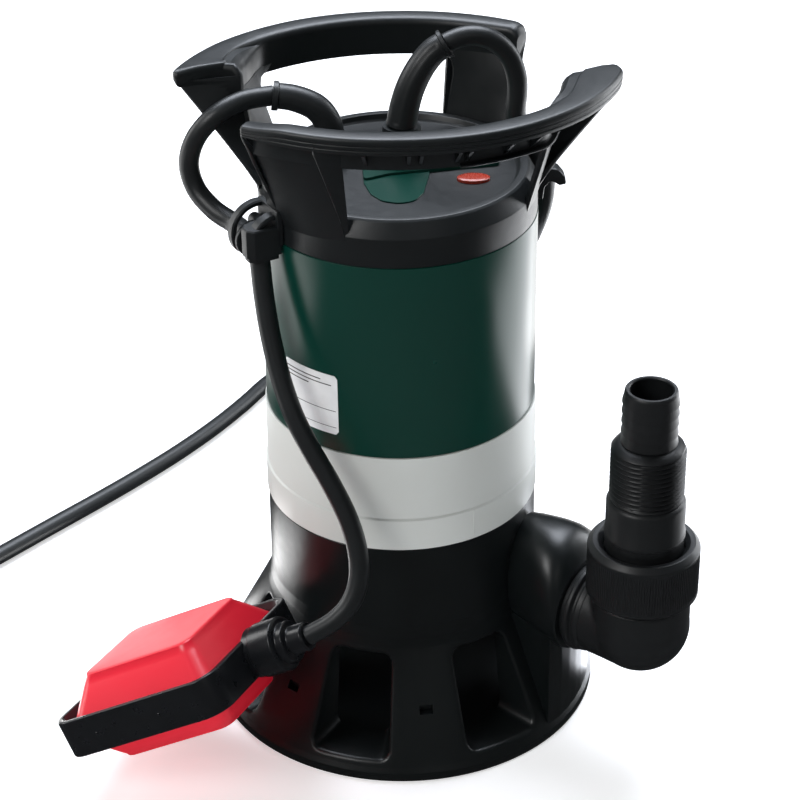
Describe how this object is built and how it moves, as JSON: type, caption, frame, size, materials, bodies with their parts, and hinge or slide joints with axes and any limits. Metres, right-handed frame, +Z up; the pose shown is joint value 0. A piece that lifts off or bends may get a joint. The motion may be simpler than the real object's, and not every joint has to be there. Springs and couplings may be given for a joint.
{
  "type": "submersible sump pump",
  "caption": "Upright submersible dirty-water pump with strainer base, two-bow handle, float switch, elbow outlet and stepped hose adapter.",
  "frame": {"origin": "on the pump's vertical axis, at the underside of the foot", "axes": "+Z up along the motor shaft; +X from the pump axis towards the outlet elbow"},
  "size_m": [0.5662, 0.4274, 0.3274],
  "materials": {
    "black_plastic": "moulded, satin",
    "black_gloss": "smooth moulded",
    "green_plastic": "deep bottle green, semi-gloss",
    "grey_plastic": "light warm grey, satin",
    "red_plastic": "red, satin",
    "black_rubber": "cable sheath",
    "dark_plastic": "glass-filled",
    "steel": "turned",
    "cast_alloy": "cast",
    "iron": "laminated",
    "copper": "enamelled wire",
    "white_plastic": "plain",
    "label_white": "plain sticker",
    "badge_red": "plain round sticker"
  },
  "bodies": {
    "housing": {"strainer_base": "black_plastic", "foot_plate": "black_plastic", "volute": "dark_plastic", "seal_plate": "cast_alloy", "seal_seat": "white_plastic", "oil_chamber": "cast_alloy", "bearing_plate": "cast_alloy", "lower_bearing": "steel", "upper_bearing": "steel", "upper_shield": "cast_alloy", "stator_core": "iron", "windings": "copper", "motor_can": "steel", "can_lid": "steel", "capacitor": "white_plastic", "terminal_block": "white_plastic", "collar_ring": "grey_plastic", "lower_oring": "black_rubber", "upper_oring": "black_rubber", "motor_jacket": "green_plastic", "handle_cap": "black_plastic", "cap_inlay": "green_plastic", "cap_badge": "badge_red", "rating_label": "label_white", "mains_gland": "black_plastic", "mains_sleeve": "black_rubber", "float_cable_gland": "black_plastic", "float_sleeve": "black_rubber", "cable_clip": "black_plastic", "cord_hook": "black_plastic", "tie_screws": "steel", "tie_rods": "steel", "outlet_elbow": "black_plastic", "outlet_oring": "black_rubber", "union_gasket": "black_rubber", "float_cable_upper": "black_rubber", "mains_cord": "black_rubber", "cord_coil": "black_rubber", "cord_plug": "black_gloss", "plug_pins": "steel"},
    "rotor": {"shaft": "steel", "impeller": "dark_plastic", "impeller_nut": "steel", "seal_ring": "dark_plastic", "seal_spring": "steel", "rotor_core": "iron"},
    "hose_tail": {"hose_adapter": "black_plastic"},
    "nut": {"union_nut": "black_plastic"},
    "float": {"float_shell_upper": "red_plastic", "float_shell_lower": "red_plastic", "float_band": "black_gloss", "float_gland": "black_plastic", "ball_tube": "white_plastic", "float_switch": "dark_plastic", "float_cable_lower": "black_rubber"},
    "ball": {"float_ball": "steel"},
    "plunger": {"switch_plunger": "red_plastic"}
  },
  "joints": [
    {"name": "rotor_spin", "type": "hinge", "parent": "housing", "child": "rotor", "pos_m": [0, 0, 0.07], "axis": [0, 0, 1], "continuous": true},
    {"name": "nut_turn", "type": "hinge", "parent": "hose_tail", "child": "nut", "pos_m": [0.125, 0.016, 0.1], "axis": [0, 0, 1], "range_deg": [0, 1260]},
    {"name": "adapter_lift", "type": "slide", "parent": "housing", "child": "hose_tail", "axis": [0, 0, 1], "range_m": [0, 0.00808]},
    {"name": "float_swing", "type": "hinge", "parent": "housing", "child": "float", "pos_m": [-0.025, -0.065, 0.25], "axis": [-0.9272, 0.3746, 0], "range_deg": [0, 110]},
    {"name": "ball_roll", "type": "slide", "parent": "float", "child": "ball", "axis": [0.8112, 0.3033, 0.5], "range_m": [0, 0.021]},
    {"name": "plunger_press", "type": "slide", "parent": "float", "child": "plunger", "axis": [0.8112, 0.3033, 0.5], "range_m": [0, 0.00101]}
  ],
  "couplings": [
    {"joint": "nut_turn", "follows": "adapter_lift", "rad_per_m": 2721.2},
    {"joint": "plunger_press", "follows": "ball_roll", "ratio": 0.048}
  ]
}
